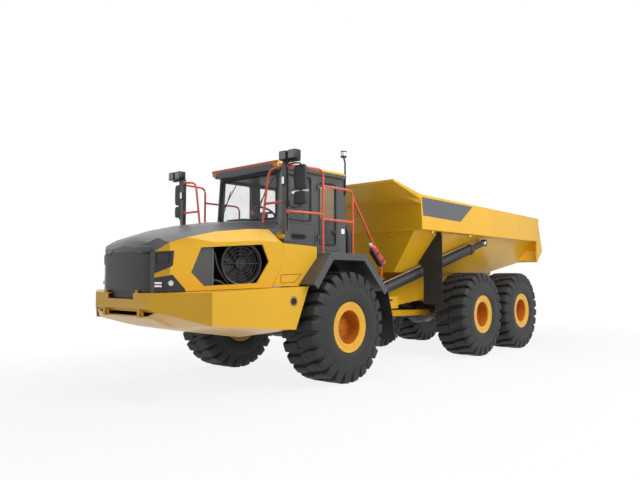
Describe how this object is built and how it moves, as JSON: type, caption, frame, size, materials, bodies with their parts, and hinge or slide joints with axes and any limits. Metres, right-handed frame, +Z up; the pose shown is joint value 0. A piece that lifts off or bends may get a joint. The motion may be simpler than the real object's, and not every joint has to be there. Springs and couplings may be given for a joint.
{
  "type": "articulated dump truck",
  "caption": "Three-axle articulated dump truck: front unit with cab and tilting hood, steering and roll hitch, tipping body with tailgate, and turning wheels.",
  "frame": {"origin": "on the ground, under the middle of the vehicle's overall length and width", "axes": "+X forward, +Y to the vehicle's left, +Z up"},
  "size_m": [11.33, 3.4, 4.01],
  "materials": {
    "machine_yellow": "satin",
    "wheel_yellow": "satin",
    "dark_grey": "satin",
    "chassis_black": "matte",
    "lamp_black": "gloss",
    "trim_black": "matte",
    "flap_rubber": "matte",
    "tyre": "matte",
    "glass": "gloss",
    "chrome": "gloss",
    "rail_orange": "satin",
    "beacon_amber": "gloss",
    "seat_fabric": "matte"
  },
  "bodies": {
    "root": {"front_frame": "chassis_black", "front_axle": "chassis_black", "front_apron": "machine_yellow", "belly_plate": "machine_yellow", "engine_block": "chassis_black", "cooling_fans": "trim_black", "cowl": "dark_grey", "side_panels": "machine_yellow", "deck": "chassis_black", "fenders": "dark_grey", "mud_panels": "chassis_black", "cab_shell": "dark_grey", "cab_roof": "machine_yellow", "cab_glass": "glass", "seat": "seat_fabric", "steering_column": "trim_black", "lamp_masts": "rail_orange", "work_lamps": "lamp_black", "mirrors": "trim_black", "handrails": "rail_orange", "air_cleaner": "chassis_black", "beacon": "beacon_amber"},
    "hood": {"hood_cap": "dark_grey", "hood_sides": "machine_yellow", "headlamps": "lamp_black", "grille": "dark_grey"},
    "cab_door": {"cab_door": "dark_grey", "door_glass": "glass"},
    "hitch": {"hitch": "chassis_black"},
    "rear_frame": {"rear_frame": "machine_yellow", "bogie_beams": "machine_yellow", "stays": "machine_yellow", "prop_shafts": "chassis_black", "mid_axle": "chassis_black", "rear_axle": "chassis_black"},
    "dump_body": {"dump_body": "machine_yellow", "mud_flaps": "flap_rubber"},
    "tailgate": {"tailgate": "machine_yellow"},
    "wheel_front_left": {"tyre_front_left": "tyre", "rim_front_left": "wheel_yellow"},
    "wheel_front_right": {"tyre_front_right": "tyre", "rim_front_right": "wheel_yellow"},
    "wheel_mid_left": {"tyre_mid_left": "tyre", "rim_mid_left": "wheel_yellow"},
    "wheel_mid_right": {"tyre_mid_right": "tyre", "rim_mid_right": "wheel_yellow"},
    "wheel_rear_left": {"tyre_rear_left": "tyre", "rim_rear_left": "wheel_yellow"},
    "wheel_rear_right": {"tyre_rear_right": "tyre", "rim_rear_right": "wheel_yellow"},
    "steer_barrel_left": {"steer_barrel_left": "machine_yellow"},
    "steer_rod_left": {"steer_rod_left": "chrome"},
    "steer_barrel_right": {"steer_barrel_right": "machine_yellow"},
    "steer_rod_right": {"steer_rod_right": "chrome"},
    "hoist_barrel_left": {"hoist_barrel_left": "machine_yellow"},
    "hoist_rod_left": {"hoist_rod_left": "chrome"},
    "hoist_barrel_right": {"hoist_barrel_right": "machine_yellow"},
    "hoist_rod_right": {"hoist_rod_right": "chrome"}
  },
  "joints": [
    {"name": "wheel_front_left", "type": "hinge", "parent": "root", "child": "wheel_front_left", "pos_m": [2.575, 1.318, 0.89989], "axis": [0, 1, 0], "continuous": true},
    {"name": "wheel_front_right", "type": "hinge", "parent": "root", "child": "wheel_front_right", "pos_m": [2.575, -1.318, 0.89989], "axis": [0, 1, 0], "continuous": true},
    {"name": "wheel_mid_left", "type": "hinge", "parent": "rear_frame", "child": "wheel_mid_left", "pos_m": [-1.975, 1.318, 0.89989], "axis": [0, 1, 0], "continuous": true},
    {"name": "wheel_mid_right", "type": "hinge", "parent": "rear_frame", "child": "wheel_mid_right", "pos_m": [-1.975, -1.318, 0.89989], "axis": [0, 1, 0], "continuous": true},
    {"name": "wheel_rear_left", "type": "hinge", "parent": "rear_frame", "child": "wheel_rear_left", "pos_m": [-3.945, 1.318, 0.89989], "axis": [0, 1, 0], "continuous": true},
    {"name": "wheel_rear_right", "type": "hinge", "parent": "rear_frame", "child": "wheel_rear_right", "pos_m": [-3.945, -1.318, 0.89989], "axis": [0, 1, 0], "continuous": true},
    {"name": "steer", "type": "hinge", "parent": "root", "child": "hitch", "pos_m": [1.295, 0, 1.1], "axis": [0, 0, 1], "range_deg": [-45, 45]},
    {"name": "roll", "type": "hinge", "parent": "hitch", "child": "rear_frame", "pos_m": [0.875, 0, 1.1], "axis": [1, 0, 0], "range_deg": [-10, 10]},
    {"name": "tip", "type": "hinge", "parent": "rear_frame", "child": "dump_body", "pos_m": [-4.425, 0, 1.75], "axis": [0, -1, 0], "range_deg": [0, 70]},
    {"name": "gate", "type": "hinge", "parent": "dump_body", "child": "tailgate", "pos_m": [-5.285, 0, 3.17], "axis": [0, 1, 0], "range_deg": [0, 60]},
    {"name": "hood", "type": "hinge", "parent": "root", "child": "hood", "pos_m": [5.643, 0, 1.508], "axis": [0, 1, 0], "range_deg": [0, 60]},
    {"name": "cab_door", "type": "hinge", "parent": "root", "child": "cab_door", "pos_m": [2.39, 0.794, 2.785], "axis": [0, 0, -1], "range_deg": [0, 75]},
    {"name": "steer_barrel_left", "type": "hinge", "parent": "root", "child": "steer_barrel_left", "pos_m": [2.245, 0.62, 1.1], "axis": [0, 0, 1], "range_deg": [-9.5, 9.5]},
    {"name": "steer_rod_left", "type": "slide", "parent": "steer_barrel_left", "child": "steer_rod_left", "axis": [-0.9919, -0.1268, 0], "range_m": [-0.3705, 0.3705]},
    {"name": "steer_barrel_right", "type": "hinge", "parent": "root", "child": "steer_barrel_right", "pos_m": [2.245, -0.62, 1.1], "axis": [0, 0, 1], "range_deg": [-9.5, 9.5]},
    {"name": "steer_rod_right", "type": "slide", "parent": "steer_barrel_right", "child": "steer_rod_right", "axis": [-0.9919, 0.1268, 0], "range_m": [-0.3705, 0.3705]},
    {"name": "hoist_barrel_left", "type": "hinge", "parent": "rear_frame", "child": "hoist_barrel_left", "pos_m": [0.575, 0.6, 1.36], "axis": [0.1412, 0.7256, 0.6735], "range_deg": [0, 9.13]},
    {"name": "hoist_rod_left", "type": "slide", "parent": "hoist_barrel_left", "child": "hoist_rod_left", "axis": [-0.909, 0.2533, 0.3308], "range_m": [0, 2.304]},
    {"name": "hoist_barrel_right", "type": "hinge", "parent": "rear_frame", "child": "hoist_barrel_right", "pos_m": [0.575, -0.6, 1.36], "axis": [-0.1412, 0.7256, -0.6735], "range_deg": [0, 9.13]},
    {"name": "hoist_rod_right", "type": "slide", "parent": "hoist_barrel_right", "child": "hoist_rod_right", "axis": [-0.909, -0.2533, 0.3308], "range_m": [0, 2.304]}
  ],
  "couplings": [
    {"joint": "steer_barrel_left", "follows": "steer", "ratio": 0.20289},
    {"joint": "steer_rod_left", "follows": "steer", "m_per_rad": 0.46999},
    {"joint": "steer_barrel_right", "follows": "steer", "ratio": 0.20289},
    {"joint": "steer_rod_right", "follows": "steer", "m_per_rad": -0.46999},
    {"joint": "hoist_barrel_left", "follows": "tip", "ratio": 0.12752},
    {"joint": "hoist_rod_left", "follows": "tip", "m_per_rad": 1.8777},
    {"joint": "hoist_barrel_right", "follows": "tip", "ratio": 0.12752},
    {"joint": "hoist_rod_right", "follows": "tip", "m_per_rad": 1.8777}
  ]
}
